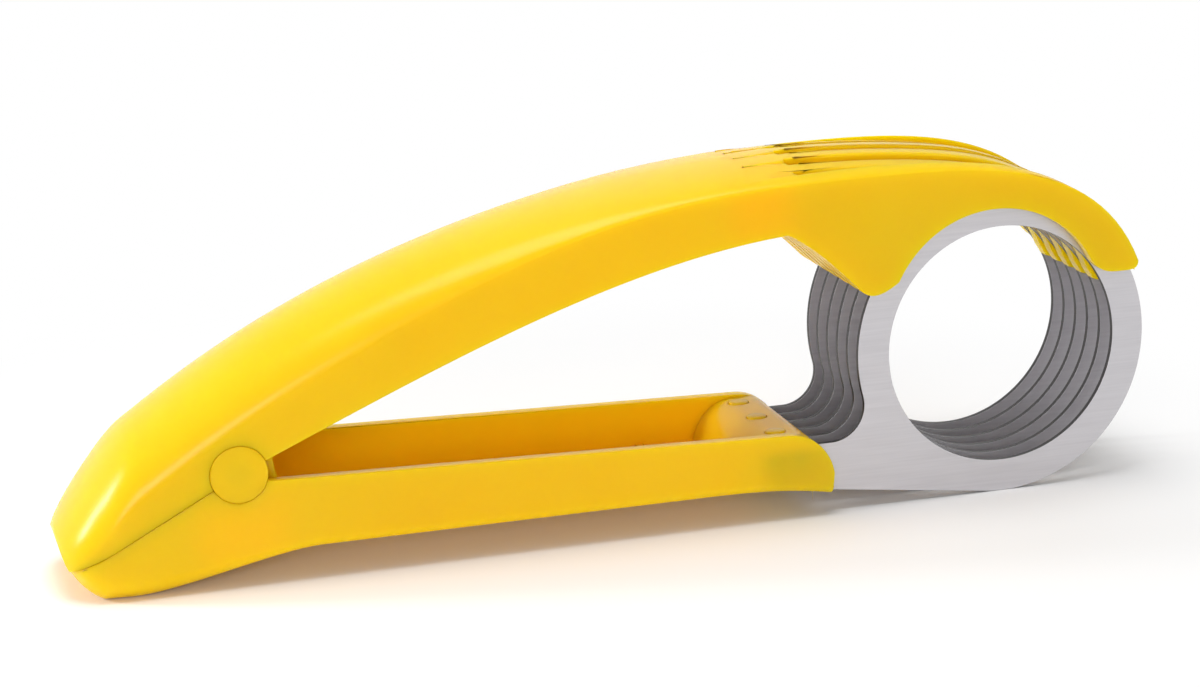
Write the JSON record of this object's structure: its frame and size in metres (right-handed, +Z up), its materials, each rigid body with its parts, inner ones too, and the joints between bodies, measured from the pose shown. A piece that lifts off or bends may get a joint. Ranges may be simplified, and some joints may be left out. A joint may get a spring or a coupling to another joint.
{
  "type": "banana slicer",
  "caption": "Hand-held banana slicer: two hinged yellow arms, steel ring blades standing in a row and a slotted comb that closes between them, held open by a torsion spring.",
  "frame": {"origin": "middle of the slicer's length and width, on the table it stands on", "axes": "+X along the slicer from the tail to the rings, +Z up from the table, +Y across, along the axis of the rings' holes"},
  "size_m": [0.191, 0.031, 0.0624],
  "materials": {
    "yellow_plastic": "smooth moulded, half gloss",
    "blade_steel": "fine brushed faces, darker cut edges",
    "pin_steel": "plain drawn wire and rod"
  },
  "bodies": {
    "base": {"lower_arm": "yellow_plastic", "blade_1": "blade_steel", "blade_2": "blade_steel", "blade_3": "blade_steel", "blade_4": "blade_steel", "blade_5": "blade_steel", "blade_6": "blade_steel", "blade_holder": "yellow_plastic", "front_cross_pin": "pin_steel", "rear_cross_pin": "pin_steel", "holder_pegs": "yellow_plastic", "pivot_pin": "pin_steel", "left_pivot_cap": "yellow_plastic", "right_pivot_cap": "yellow_plastic", "torsion_spring": "pin_steel"},
    "press": {"upper_arm": "yellow_plastic"}
  },
  "joints": [
    {"name": "squeeze", "type": "hinge", "parent": "base", "child": "press", "pos_m": [-0.0661, 0, 0.0195], "axis": [0, 1, 0], "range_deg": [0, 19], "stiffness_Nm_per_rad": 0.6, "springref_deg": -20.05, "deforming": ["torsion_spring"]}
  ]
}
